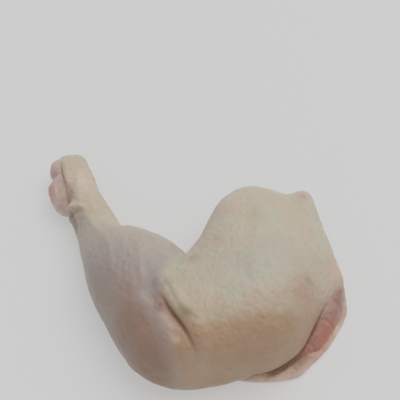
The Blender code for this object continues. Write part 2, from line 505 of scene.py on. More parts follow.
@dataclass(frozen=True)
class Stroke:
    """A bell across a line in plan that fades at its ends: a ridge or groove, or a patch of colour.

    Attributes:
        line: The line.
        width: Distance at which the bell has faded to e to the minus one.
        strength: Its value in the middle: millimetres for a ridge, or a colour's share.
        taper: Power of the fade at the line's ends; 0 leaves them round.
        offset: How far to the line's left the bell lies.
    """

    line: PlanLine
    width: float
    strength: float = 1.0
    taper: float = 0.5
    offset: float = 0.0

    def on(self, grid: Grid) -> Array:
        """Its value at each of a grid's points."""
        gap, along = self.line.reach(grid)
        return self.strength * bell(gap - self.offset, self.width) * end_fade(along, self.taper)


def dab(x: float, y: float, width: float, strength: float) -> Stroke:
    """A round patch of colour: a stroke along a very short line."""
    return Stroke(PlanLine(((x - DAB_HALF, y), (x, y), (x + DAB_HALF, y)), 3), width, strength, 0.0)


@dataclass(frozen=True)
class Bumps:
    """Rounded bumps and dents from lattice noise.

    Attributes:
        height: About how far the highest rises, in millimetres.
        grain: About the size of one, in millimetres.
        seed: Picks where they lie.
        squeeze: What the coordinates are multiplied by first; less than 1 draws the bumps out.
    """

    height: float
    grain: float
    seed: int
    squeeze: tuple[float, float, float] = (1.0, 1.0, 1.0)

    def on(self, points: Array) -> Array:
        """Their height at each point."""
        return self.height * lattice_noise(points * np.array(self.squeeze), self.grain, self.seed)


# ------------------------------------------------------------------------------------------- finishes


def linear(hex_colour: str) -> tuple[float, float, float, float]:
    """The linear colour of an sRGB hex value such as "#C9BFAF", by the standard's own curve.

    Args:
        hex_colour: The value.

    Returns:
        Red, green and blue from 0 to 1, and full alpha.
    """
    shares = [int(hex_colour[at : at + 2], 16) / 255 for at in (1, 3, 5)]
    lit = [share / 12.92 if share <= 0.04045 else ((share + 0.055) / 1.055) ** 2.4 for share in shares]
    return (*lit, 1.0)


def per_metre(size_mm: float) -> float:
    """Texture scale for features of so many millimetres on coordinates in metres."""
    return 1.0 / (size_mm * MM)

def add_node(
    tree: Tree,
    kind: str,
    values: dict | None = None,
    links: dict | None = None,
    **settings: object,
) -> bpy.types.Node:
    """Adds one node to a material.

    Args:
        tree: The material's node tree.
        kind: The node's type name, without the "ShaderNode" that all of them start with.
        values: Input socket to its constant value.
        links: Input socket to the output socket that feeds it.
        settings: The node's own properties.

    Returns:
        The new node.
    """
    node = tree.nodes.new("ShaderNode" + kind)
    for name, setting in settings.items():
        setattr(node, name, setting)
    for socket, value in (values or {}).items():
        node.inputs[socket].default_value = value
    for socket, source in (links or {}).items():
        tree.links.new(source, node.inputs[socket])
    return node


@dataclass(frozen=True)
class Surface:
    """What a finish's patterns feed into its shader.

    Attributes:
        base: The lowest colour.
        layers: Colours laid over it in turn, each with its share: a socket, or a mask's name.
        bumps: Heights laid over each other, each with its strength and its depth in millimetres.
        roughness: What feeds the roughness where it isn't even.
    """

    base: str
    layers: list[tuple[Socket | str, str]]
    bumps: list[tuple[Socket, float, float]]
    roughness: Socket | None = None


class Tint(Enum):
    """What shows in or through the skin, and where shade or light is painted into it; each is a mask on the
    mesh and a colour in its finish.
    """

    WARM_SHADE = "warm_painted_shade"
    LILAC = "dark_meat_and_painted_shade"
    BROWN = "brown_meat_and_painted_shade"
    BRUISE = "bruise"
    PINK = "blush"
    OLIVE = "yellow_fat_and_painted_shade"
    PALE = "pale_fat_and_painted_light"
    DARK = "crease_shade"
    COOL = "moist_grey"


@dataclass(frozen=True)
class MoistTissue:
    """What the leg's finishes share: moist, slightly see-through tissue with a thin wet film.

    Attributes:
        name: The material's name.
        roughness: Roughness of the film and tissue.
        depth_mm: How far red light travels inside.
        glow: Share of the light that travels inside.
        film: How much of the surface the wet film covers.
    """

    name: str
    roughness: float
    depth_mm: float
    glow: float
    film: float

    REFRACTION = 1.38              # water-rich tissue lies between water and fat
    FILM_ROUGHNESS = 0.28
    DEPTH_BY_COLOUR = (1.0, 0.42, 0.22)

    def surface(self, tree: Tree, where: Socket) -> Surface:
        """The patterns of one tissue, on the object's own coordinates."""
        raise NotImplementedError

    def build(self) -> bpy.types.Material:
        """Makes the material and lays its colours and its bumps over each other in turn.

        Returns:
            The material.
        """
        material = bpy.data.materials.new(self.name)
        material.use_nodes = True
        tree = material.node_tree
        shader = tree.nodes["Principled BSDF"]
        settings = {
            "Roughness": self.roughness,
            "IOR": self.REFRACTION,
            "Subsurface Weight": self.glow,
            "Subsurface Radius": self.DEPTH_BY_COLOUR,
            "Subsurface Scale": self.depth_mm * MM,
            "Coat Weight": self.film,
            "Coat Roughness": self.FILM_ROUGHNESS,
        }
        for socket, value in settings.items():
            shader.inputs[socket].default_value = value
        surface = self.surface(tree, add_node(tree, "TexCoord").outputs["Object"])

        colours, below = {MIX_A: linear(surface.base)}, {}
        for share, colour in surface.layers:
            if isinstance(share, str):
                share = add_node(tree, "Attribute", attribute_name=share).outputs["Fac"]
            colours[MIX_B] = linear(colour)
            mix = add_node(tree, "Mix", colours, {MIX_FACTOR: share, **below}, data_type="RGBA")
            below = {MIX_A: mix.outputs[MIX_RESULT]}
        tree.links.new(below[MIX_A], shader.inputs["Base Color"])
        under = {}
        for height, strength, depth_mm in surface.bumps:
            sizes = {"Strength": strength, "Distance": depth_mm * MM}
            bump = add_node(tree, "Bump", sizes, {"Height": height, **under})
            under = {"Normal": bump.outputs["Normal"]}
        tree.links.new(under["Normal"], shader.inputs["Normal"])
        if surface.roughness is not None:
            tree.links.new(surface.roughness, shader.inputs["Roughness"])
        return material


@dataclass(frozen=True)
class RawSkin(MoistTissue):
    """Raw chicken skin, plucked and moist.

    It was scalded and plucked, which leaves it matt and soft with small goosebumps. Where fat lies under
    it the eye sees pale grey-beige, and where it lies thin on dark meat, lilac-grey.
    """

    name: str = "raw_chicken_skin"
    roughness: float = 0.42
    depth_mm: float = 3.2
    glow: float = 0.28
    film: float = 0.3
    base: str = "#D1C5B2"
    base_cool: str = "#CDCAB7"     # greenish patches where the skin is moistest
    base_rosy: str = "#CFBBA9"
    follicle: str = "#D9CFB9"
    tints: dict[Tint, tuple[str, float]] = field(
        default_factory=lambda: {
            # Lilac: dark meat under the skin, and painted shade outside the shank's ridge.
            Tint.LILAC: ("#B5A9A6", 0.95),
            # Brown: dark meat by the knee, and painted shade in the crease and under the collar fold.
            Tint.BROWN: ("#A8866F", 0.95),
            # Warm: painted shade on the flanks and the thigh's front.
            Tint.WARM_SHADE: ("#BD9C7E", 0.9),
            Tint.BRUISE: ("#8E7F84", 0.8),
            Tint.PINK: ("#C08F80", 0.7),
            Tint.COOL: ("#C3C3B7", 0.9),
            # Olive: yellow fat, and painted shade at the end of the thigh's fold edge.
            Tint.OLIVE: ("#A89A6C", 0.75),
            # Pale: pale fat, and painted light in the band inside the lip.
            Tint.PALE: ("#E0CEBD", 0.8),
            Tint.DARK: ("#7A5C46", 0.85),
        }
    )
    patch_mm: float = 17.0
    mottle_mm: float = 5.0
    grain_mm: float = 1.1          # finer on real skin, and drawn coarser so that it shows
    wrinkle_mm: float = 2.6
    pore_mm: float = 4.2
    follicle_share: float = 0.2
    edge_wander: float = 0.5       # how far the mottling pushes the tints' edges in and out
    gloss_down: float = 0.07
    gloss_up: float = 0.09

    def surface(self, tree: Tree, where: Socket) -> Surface:
        """A mottled base, each tint by its mask with a ragged edge, follicles, and bumps of three sizes.

        Args:
            tree: The material's node tree.
            where: The object's own coordinates, in metres.

        Returns:
            What feeds the shader.
        """
        sizes = {"Scale": per_metre(self.patch_mm), "Detail": 2.0}
        patches = add_node(tree, "TexNoise", sizes, {"Vector": where}).outputs["Fac"]
        sizes = {"Scale": per_metre(self.mottle_mm), "Detail": 4.0, "Roughness": 0.6}
        mottle = add_node(tree, "TexNoise", sizes, {"Vector": where}).outputs["Fac"]
        limits = {"From Min": 0.46, "From Max": 0.7}
        cool = add_node(tree, "MapRange", limits, {"Value": patches}, interpolation_type="SMOOTHSTEP")
        limits = {"From Min": 0.5, "From Max": 0.72, "To Max": 0.6}
        rosy = add_node(tree, "MapRange", limits, {"Value": mottle}, interpolation_type="SMOOTHSTEP")
        layers = [(cool.outputs["Result"], self.base_cool), (rosy.outputs["Result"], self.base_rosy)]

        uneven = add_node(tree, "Math", {1: 0.5}, {0: mottle}, operation="SUBTRACT").outputs["Value"]
        factors = {1: self.edge_wander, 2: 1.0}
        ragged = add_node(tree, "Math", factors, {0: uneven}, operation="MULTIPLY_ADD").outputs["Value"]
        for tint, (colour, most) in self.tints.items():
            mask = add_node(tree, "Attribute", attribute_name=tint.value).outputs["Fac"]
            share = add_node(tree, "Math", {}, {0: mask, 1: ragged}, operation="MULTIPLY").outputs["Value"]
            share = add_node(tree, "Math", {1: most}, {0: share}, operation="MULTIPLY", use_clamp=True)
            layers.append((share.outputs["Value"], colour))
        mask = add_node(tree, "Attribute", attribute_name="follicle").outputs["Fac"]
        share = add_node(tree, "Math", {1: self.follicle_share}, {0: mask}, operation="MULTIPLY")
        layers.append((share.outputs["Value"], self.follicle))

        limits = {"To Min": self.roughness - self.gloss_down, "To Max": self.roughness + self.gloss_up}
        gloss = add_node(tree, "MapRange", limits, {"Value": mottle}).outputs["Result"]
        sizes = {"Scale": per_metre(self.grain_mm), "Detail": 3.0}
        grain = add_node(tree, "TexNoise", sizes, {"Vector": where}).outputs["Fac"]
        sizes = {"Scale": per_metre(self.wrinkle_mm), "Smoothness": 0.6}
        wrinkle = add_node(tree, "TexVoronoi", sizes, {"Vector": where}, feature="SMOOTH_F1")
        sizes = {"Scale": per_metre(self.pore_mm), "Randomness": 0.8}
        pores = add_node(tree, "TexVoronoi", sizes, {"Vector": where}, feature="F1").outputs["Distance"]
        limits = {"From Min": 0.32, "From Max": 0.05}
        goosebumps = add_node(tree, "MapRange", limits, {"Value": pores}, interpolation_type="SMOOTHSTEP")
        bumps = [
            (grain, 0.7, 0.35),
            (wrinkle.outputs["Distance"], 0.7, 0.6),
            (goosebumps.outputs["Result"], 0.5, 0.4),
        ]
        return Surface(self.base, layers, bumps, gloss)


@dataclass(frozen=True)
class CutMeat(MoistTissue):
    """Raw dark meat, cut across and along its fibres with a knife.

    The cut leaves a wet, finely grained face. The eye sees dull red to purple-brown muscle, split into
    strands by paler connective tissue.
    """

    name: str = "cut_dark_meat"
    roughness: float = 0.38
    depth_mm: float = 2.5
    glow: float = 0.25
    film: float = 0.3
    lean_red: str = "#BD8A79"
    lean_dark: str = "#AC7A67"
    tissue: str = "#CBA99E"
    tissue_edge: str = "#CDB9AB"
    purple: str = "#A4837A"
    bright_red: str = "#C37A6A"
    shaded: str = "#AC8469"
    bundle_mm: float = 4.5
    strand_mm: float = 1.9
    fibre_mm: float = 0.9          # finer in real meat, and drawn coarser so that they show
    fibre_turn: float = -0.55      # which way the fibres run in plan, in radians
    fibre_length: float = 4.0      # how much longer than wide they are

    def surface(self, tree: Tree, where: Socket) -> Surface:
        """Two reds in bundles, pale fibres and pale walls between strands, then each mask's colour.

        Args:
            tree: The material's node tree.
            where: The object's own coordinates, in metres.

        Returns:
            What feeds the shader.
        """
        sizes = {"Scale": (1.0, self.fibre_length, 1.0), "Rotation": (0.0, 0.0, self.fibre_turn)}
        turned = add_node(tree, "Mapping", sizes, {"Vector": where}, vector_type="TEXTURE")
        along_fibres = {"Vector": turned.outputs["Vector"]}
        sizes = {"Scale": per_metre(self.bundle_mm), "Detail": 3.0}
        bundles = add_node(tree, "TexNoise", sizes, {"Vector": where}).outputs["Fac"]
        sizes = {"Scale": per_metre(self.fibre_mm), "Detail": 2.0}
        fibres = add_node(tree, "TexNoise", sizes, along_fibres).outputs["Fac"]
        sizes = {"Scale": per_metre(self.strand_mm), "Randomness": 1.0}
        walls = add_node(tree, "TexVoronoi", sizes, along_fibres, feature="DISTANCE_TO_EDGE")
        from_wall = walls.outputs["Distance"]

        red = add_node(tree, "MapRange", {"From Min": 0.36, "From Max": 0.62}, {"Value": bundles})
        limits = {"From Min": 0.55, "From Max": 0.75, "To Max": 0.4}
        pale = add_node(tree, "MapRange", limits, {"Value": fibres})
        limits = {"From Min": 0.0, "From Max": 0.16, "To Min": 0.28, "To Max": 0.0}
        wall = add_node(tree, "MapRange", limits, {"Value": from_wall}, interpolation_type="SMOOTHSTEP")
        layers = [
            (red.outputs["Result"], self.lean_red),
            (pale.outputs["Result"], self.tissue),
            (wall.outputs["Result"], self.tissue),
            ("tissue", self.tissue),
            ("rump", self.purple),
            ("pale_rim", self.tissue_edge),
            ("raw_edge", self.bright_red),
            ("lip_shade", self.shaded),
        ]
        return Surface(self.lean_dark, layers, [(fibres, 0.7, 0.4), (from_wall, 0.6, 0.5)])


@dataclass(frozen=True)
class Cartilage(MoistTissue):
    """Joint cartilage with sinew round it, bared where the foot was cut off.

    Cartilage is smooth and pearly. The eye sees pinkish grey, browner where blood and sinew lie in the
    groove between the lobes.
    """

    name: str = "joint_cartilage"
    roughness: float = 0.36
    depth_mm: float = 3.0
    glow: float = 0.35
    film: float = 0.25
    pearl: str = "#DCC7BE"
    sinew: str = "#B59B86"
    blood: str = "#C4938B"
    veil: str = "#D3C8B6"
    cloud_mm: float = 3.0

    def surface(self, tree: Tree, where: Socket) -> Surface:
        """Pearl clouded with sinew, then sinew, blood and a veil of skin by their masks.

        Args:
            tree: The material's node tree.
            where: The object's own coordinates, in metres.

        Returns:
            What feeds the shader.
        """
        sizes = {"Scale": per_metre(self.cloud_mm), "Detail": 4.0}
        clouds = add_node(tree, "TexNoise", sizes, {"Vector": where}).outputs["Fac"]
        limits = {"From Min": 0.4, "From Max": 0.75, "To Max": 0.5}
        share = add_node(tree, "MapRange", limits, {"Value": clouds}).outputs["Result"]
        layers = [
            (share, self.sinew),
            ("sinew", self.sinew),
            ("blood", self.blood),
            ("skin_veil", self.veil),
        ]
        return Surface(self.pearl, layers, [(clouds, 0.4, 0.3)])


@dataclass(frozen=True)
class FattySkin(MoistTissue):
    """The inner side and edge of the skin, with a thin layer of fat.

    It was cut with a knife, which leaves a soft, smeared edge. The eye sees pale pink, yellower where
    the fat is thick.
    """

    name: str = "fatty_skin_edge"
    roughness: float = 0.4
    depth_mm: float = 3.0
    glow: float = 0.35
    film: float = 0.2
    pink: str = "#E3C8BA"
    fat: str = "#DACCB7"
    blood: str = "#C8837A"
    shaded: str = "#A9826A"
    lump_mm: float = 4.0
    lobule_mm: float = 1.8

    def surface(self, tree: Tree, where: Socket) -> Surface:
        """Pink and fat in soft lumps, blood and shade by their masks, and small lobules of fat.

        Args:
            tree: The material's node tree.
            where: The object's own coordinates, in metres.

        Returns:
            What feeds the shader.
        """
        sizes = {"Scale": per_metre(self.lump_mm), "Detail": 3.0}
        lumps = add_node(tree, "TexNoise", sizes, {"Vector": where}).outputs["Fac"]
        share = add_node(tree, "MapRange", {"From Min": 0.4, "From Max": 0.65}, {"Value": lumps})
        sizes = {"Scale": per_metre(self.lobule_mm), "Smoothness": 0.7}
        lobules = add_node(tree, "TexVoronoi", sizes, {"Vector": where}, feature="SMOOTH_F1")
        layers = [(share.outputs["Result"], self.fat), ("blood", self.blood), ("lip_shade", self.shaded)]
        return Surface(self.pink, layers, [(lumps, 0.4, 0.3), (lobules.outputs["Distance"], 0.6, 0.6)])


@dataclass(frozen=True)
class LitTable:
    """The table: a milky acrylic sheet lit from below, which the eye sees as one even pale grey.

    The light that comes through it keeps the leg's own shadow faint.
    """

    name: str = "lit_acrylic"
    colour: str = "#8C8C8C"
    roughness: float = 0.6
    glow: float = 0.392

    def build(self) -> bpy.types.Material:
        """One even colour that also gives off light.

        Returns:
            The material.
        """
        material = bpy.data.materials.new(self.name)
        material.use_nodes = True
        shader = material.node_tree.nodes["Principled BSDF"]
        shader.inputs["Base Color"].default_value = linear(self.colour)
        shader.inputs["Roughness"].default_value = self.roughness
        shader.inputs["Emission Color"].default_value = (1.0, 1.0, 1.0, 1.0)
        shader.inputs["Emission Strength"].default_value = self.glow
        return material


# --------------------------------------------------------------------------------------------- pieces


@dataclass
class Piece:
    """One piece of the leg: a smooth loft, relief on it, and masks that guide its finish.

    Attributes:
        name: The piece's name.
        slot: The material slot of the record that it belongs to; not used.
        finish: Its material.
        loft: Its smooth body.
        pole_rings: Rings over which the relief fades out at each closed end.
    """

    name: str
    slot: str
    finish: MoistTissue
    loft: Loft
    pole_rings: int = 8

    def relief(self, grid: Grid) -> Array:
        """How far each point of the smooth loft is raised, in millimetres."""
        raise NotImplementedError

    def masks(self, grid: Grid) -> dict[str, Array]:
        """The finish's masks for the points of the smooth loft, by their names."""
        raise NotImplementedError

    def shaped(self, grid: Grid) -> Grid:
        """The grid with the relief on it."""
        return grid.raised(self.relief(grid) * grid.pole_fade(self.pole_rings), self.loft.base)

    def build(self, grid: Grid, place: Vector) -> bpy.types.Object:
        """The finished piece.

        Args:
            grid: The loft's grid.
            place: What is added to the drawing's millimetres to reach the solid's frame.

        Returns:
            The piece, dressed in its finish.
        """
        piece = self.shaped(grid).mesh(self.name, place, self.masks(grid))
        piece.data.materials.append(self.finish.build())
        return piece


@dataclass
class LegSkin(Piece):
    """The skin over drumstick, knee and thigh, from the ankle's collar to the lip over the cut.

    Attributes:
        crease: The groove between the calf and the thigh.
        fold_edge: A finer groove along the thigh's fold beside it.
        drumstick_edge: Where the drumstick's dark meat ends towards the thigh.
        front_edge: Where the thigh's top turns down to its front, past which painted shade deepens.
        shank_ridge: The ridge along the shank, with painted shade outside it.
        skin_edge: The skin's edge at the joint.
        streaks: Faint raised streaks down the calf.
        collar_fold: The pale fold across the shank, with a groove under it.
        ankle_fold: Where the skin steps down beside the ankle.
        shank_groove: The groove down the shank's outer side.
        lip_margin: The band of painted light inside the lip, on the steep wall that turns from the light.
        overhang: How far the thigh's fold is pushed over the crease.
        overhang_way: Which way it is pushed, in plan.
    """

    name: str = "leg_skin"
    slot: str = "skin"
    finish: MoistTissue = RawSkin()
    pole_rings: int = 10
    loft: Loft = Loft(
        stations=(
            Station((-63.5, 48.5), (-63.5, 48.5), 9.5, 0.0, 9.5),  # inside the joint
            Station((-71.0, 62.5), (-64.2, 33.6), 17.8, 0.0, 9.5),  # skin collar
            Station((-60.5, 64.0), (-63.9, 30.8), 19.6, 0.0, 9.5, 0.9),  # ankle end
            Station((-54.6, 55.0), (-63.8, 28.0), 20.2, 0.0, 9.5, 0.95),  # ankle
            Station((-49.0, 42.0), (-61.8, 24.0), 19.8, 0.0, 9.5),  # thinnest shank
            Station((-42.6, 29.0), (-59.6, 18.5), 20.0, 0.0, 10.0),  # shank
            Station((-35.0, 17.6), (-57.8, 11.5), 24.0, 0.0, 11.0),  # calf starts
            Station((-24.5, 13.4), (-55.2, 0.0), 31.0, 0.05, 13.0),  # upper calf
            Station((-15.3, 8.6), (-51.5, -13.0), 35.0, 0.05, 14.0, 0.95),  # full calf
            Station((-8.8, 3.8), (-45.6, -27.0), 36.5, 0.0, 14.0, 0.95),  # calf by the notch
            Station((-5.6, 0.2), (-38.5, -40.0), 37.5, -0.1, 14.0, 0.95),  # knee pit
            Station((-4.4, 0.4), (-29.0, -52.8), 39.0, -0.15, 13.0, 0.88),  # knee
            Station((-2.4, 4.6), (-18.0, -59.5), 41.0, -0.2, 12.0, 0.8),  # knee tip
            Station((0.6, 11.0), (-5.0, -61.8), 43.0, -0.25, 12.0, 0.75),  # thigh root
            Station((4.6, 20.6), (8.0, -60.0), 45.0, -0.3, 12.0, 0.73),  # low thigh
            Station((11.2, 32.4), (20.0, -57.0), 46.0, -0.32, 12.0, 0.75),  # full thigh
            Station((24.3, 38.8), (31.5, -54.3), 46.0, -0.32, 12.0, 0.78, 5.0),
            Station((40.5, 34.2), (41.0, -48.5), 43.0, -0.3, 12.0, 0.8, 6.5),
            Station((51.8, 36.6), (49.0, -38.5), 37.5, -0.25, 12.0, 0.85, 6.5),
            Station((57.4, 21.5), (55.0, -26.5), 30.0, -0.15, 12.0, 0.9, 5.5),
            Station((62.8, 1.0), (60.4, -18.8), 22.0, 0.0, 12.0, 1.0, 3.0),  # skin lip
            Station((66.3, -11.8), (66.3, -11.8), 12.0, 0.0, 12.0),  # lip end
        ),
        rings_per_bay=20,
        crown_steps=156,
        belly_steps=64,
        undercut=0.17,
    )
    crease: PlanLine = PlanLine(
        ((-18.0, -30.2), (-16.0, -33.6), (-12.7, -39.6), (-7.7, -46.8), (-3.8, -53.3), (-0.5, -59.5))
    )
    fold_edge: PlanLine = PlanLine(
        ((-17.5, -20.5), (-14.6, -25.5), (-11.9, -31.1), (-7.8, -39.8), (-3.6, -43.3), (0.5, -46.0))
    )
    drumstick_edge: PlanLine = PlanLine(
        (
            (-2.0, 6.0), (-7.5, -8.0), (-15.0, -20.0), (-14.5, -33.0),
            (-8.5, -46.8), (-4.5, -58.0), (-3.5, -66.0),
        )
    )
    front_edge: PlanLine = PlanLine(
        (
            (-8.0, -50.0), (2.3, -48.6), (10.3, -46.1), (21.1, -43.3), (31.7, -41.8),
            (42.8, -39.5), (52.5, -30.0), (60.0, -21.0), (66.0, -12.0),
        )
    )
    shank_ridge: PlanLine = PlanLine(
        ((-60.5, 31.5), (-57.5, 27.7), (-53.0, 20.5), (-47.7, 10.2), (-42.1, 0.2), (-39.0, -7.0))
    )
    skin_edge: PlanLine = PlanLine(
        ((-70.5, 60.0), (-69.0, 54.0), (-67.2, 47.0), (-65.4, 40.0), (-63.8, 34.0))
    )
    streaks: tuple[PlanLine, ...] = (
        PlanLine(((-39.6, -8.0), (-39.4, -12.0), (-39.2, -17.6))),
        PlanLine(((-35.4, -10.5), (-35.8, -16.0), (-36.2, -22.5))),
        PlanLine(((-33.4, -13.4), (-32.7, -18.5), (-32.0, -24.5))),
        PlanLine(((-30.6, -16.6), (-29.6, -21.0), (-28.0, -27.0))),
        PlanLine(((-26.4, -15.0), (-25.4, -19.5), (-24.8, -24.0))),
    )
    collar_fold: PlanLine = PlanLine(((-66.5, 31.6), (-63.5, 30.2), (-60.2, 29.2), (-54.4, 27.2)))
    ankle_fold: PlanLine = PlanLine(
        ((-68.6, 51.0), (-66.4, 45.5), (-63.1, 38.5), (-60.3, 33.7), (-57.6, 29.6))
    )
    shank_groove: PlanLine = PlanLine(
        ((-66.6, 31.8), (-65.0, 29.0), (-62.4, 25.4), (-60.2, 21.0), (-58.8, 15.5))
    )
    lip_margin: PlanLine = PlanLine(
        ((63.5, -1.0), (62.3, -9.0), (59.5, -16.0), (55.5, -23.5), (50.0, -33.0))
    )
    dents: tuple[Bumps, ...] = (Bumps(0.75, 24.0, 11), Bumps(0.35, 9.5, 12), Bumps(0.1, 4.0, 13))
    wall_folds: Bumps = Bumps(0.9, 6.5, 15, (1.0, 1.0, 0.28))
    wall_fold_limit: float = 0.315
    lobules: Bumps = Bumps(0.9, 5.2, 21)
    calf_grain: Bumps = Bumps(0.3, 3.0, 31)
    shank_wrinkles: Bumps = Bumps(0.22, 3.0, 41, (1.0, 2.2, 1.0))
    follicle_patches: Bumps = Bumps(1.0, 18.0, 51)
    follicle_seed: int = 52
    follicle_spacing: float = 5.4
    follicle_radius: float = 0.95
    follicle_height: float = 0.15
    front_wander: tuple[Bumps, ...] = (Bumps(1.4, 9.0, 91), Bumps(0.6, 3.5, 92))
    overhang: Stroke = Stroke(crease, 2.2, 0.7, offset=2.4)
    overhang_way: Point = (-0.84, -0.54)

    # The calf grain's axes: across the drumstick, along it drawn out six times, and up drawn out twice.
    SHANK_AXES = np.array([[0.94, 0.33, 0.0], [0.33 / 6, -0.94 / 6, 0.0], [0.0, 0.0, 0.5]])

    def relief(self, grid: Grid) -> Array:
        """Slow dents, the lines' folds and grooves, and the skin's fine forms, one on another.

        Args:
            grid: The loft's grid.

        Returns:
            The height of each point, in millimetres.
        """
        points = grid.points
        dents = sum(bumps.on(points) for bumps in self.dents)
        lines = self._crease_relief(grid) + self._ankle_step(grid)
        lines += sum(fold.on(grid) for fold in self.folds())
        fine = self.calf_grain.on(points @ self.SHANK_AXES.T) * self.dark_meat(grid)
        fine += self.shank_wrinkles.on(points) * smooth_step(6.5, 4.0, grid.station)
        fine += self.follicle_height * self.follicles(grid) + self._wall_relief(grid)
        return dents + lines * grid.on_top + fine

    def folds(self) -> tuple[Stroke, ...]:
        """The folds and grooves that have a line of their own.

        Returns:
            Their strokes, with heights in millimetres.
        """
        return (
            Stroke(self.fold_edge, 0.9, -0.55),
            Stroke(self.collar_fold, 1.2, 1.35),
            Stroke(self.collar_fold, 1.2, -1.1, offset=-2.4),
            Stroke(self.shank_groove, 1.1, -1.2),
            Stroke(self.shank_ridge, 1.9, 0.6, 1.0),
            *(Stroke(streak, 1.1, 0.16) for streak in self.streaks),
        )

    def _crease_relief(self, grid: Grid) -> Array:
        """A sharp groove in a shallow trough, with the thigh's fold on its left and fat on its right.

        The groove and trough are bells across the crease that deepen over its first half.

        Args:
            grid: The loft's grid.

        Returns:
            The height of each point, in millimetres.
        """
        gap, along = self.crease.reach(grid)
        groove = (-1.25 * bell(gap, 0.8) - 1.3 * bell(gap, 3.8)) * smooth_step(0.0, 0.5, along)
        fold = 1.1 * bell(gap - 4.6, 3.4)
        fat = (0.5 + self.lobules.on(grid.points)) * bell(gap + 4.6, 3.6)
        return (groove + fold + fat) * end_fade(along)

    def _ankle_step(self, grid: Grid) -> Array:
        """A step down from the ankle's fold to its right, which rises again over a few millimetres."""
        gap, along = self.ankle_fold.reach(grid)
        return -0.7 * smooth_step(0.9, -0.9, gap) * bell(gap, 4.5) * end_fade(along, 1.0)

    def _wall_relief(self, grid: Grid) -> Array:
        """Loose skin down the walls inside the bend: noise drawn out upwards, so it makes long folds.

        Args:
            grid: The loft's grid.

        Returns:
            The height of each point, in millimetres.
        """
        wall = smooth_step(0.65, 0.15, grid.normals()[..., 2])
        inside = smooth_step(-0.1, 0.6, np.cos(grid.angle)) * smooth_step(26.0, 14.0, grid.z)
        inside = inside * smooth_step(5.5, 8.0, grid.station) * smooth_step(18.0, 16.5, grid.station)
        return np.minimum(self.wall_folds.on(grid.points), self.wall_fold_limit) * wall * inside

    def follicles(self, grid: Grid) -> Array:
        """Goosebumps on the thigh and the upper calf: staggered spots that thin out down the sides.

        Args:
            grid: The loft's grid.

        Returns:
            1 in the middle of a full one, and 0 between them.
        """
        upright = smooth_step(0.35, 0.8, grid.normals()[..., 2])
        body = smooth_step(7.0, 9.5, grid.station) * (1.0 - 0.7 * self.dark_meat(grid))
        patchy = 0.35 + 0.65 * smooth_step(-0.4, 0.5, self.follicle_patches.on(grid.points))
        dots = spots(grid.x, grid.y, self.follicle_spacing, self.follicle_radius, self.follicle_seed)
        return dots * upright * body * patchy

    def dark_meat(self, grid: Grid) -> Array:
        """Where dark meat shows through: the drumstick, from below the shank to the knee's fold.

        Args:
            grid: The loft's grid.

        Returns:
            Its share, from 0 to 1, with an edge that softens near the knee.
        """
        gap, _ = self.drumstick_edge.reach(grid)
        softness = 1.0 + 1.2 * smooth_step(-42.0, -54.0, grid.y)
        return smooth_step(4.6, 7.6, grid.station) * smooth_step(2.0, -5.0, gap / softness)

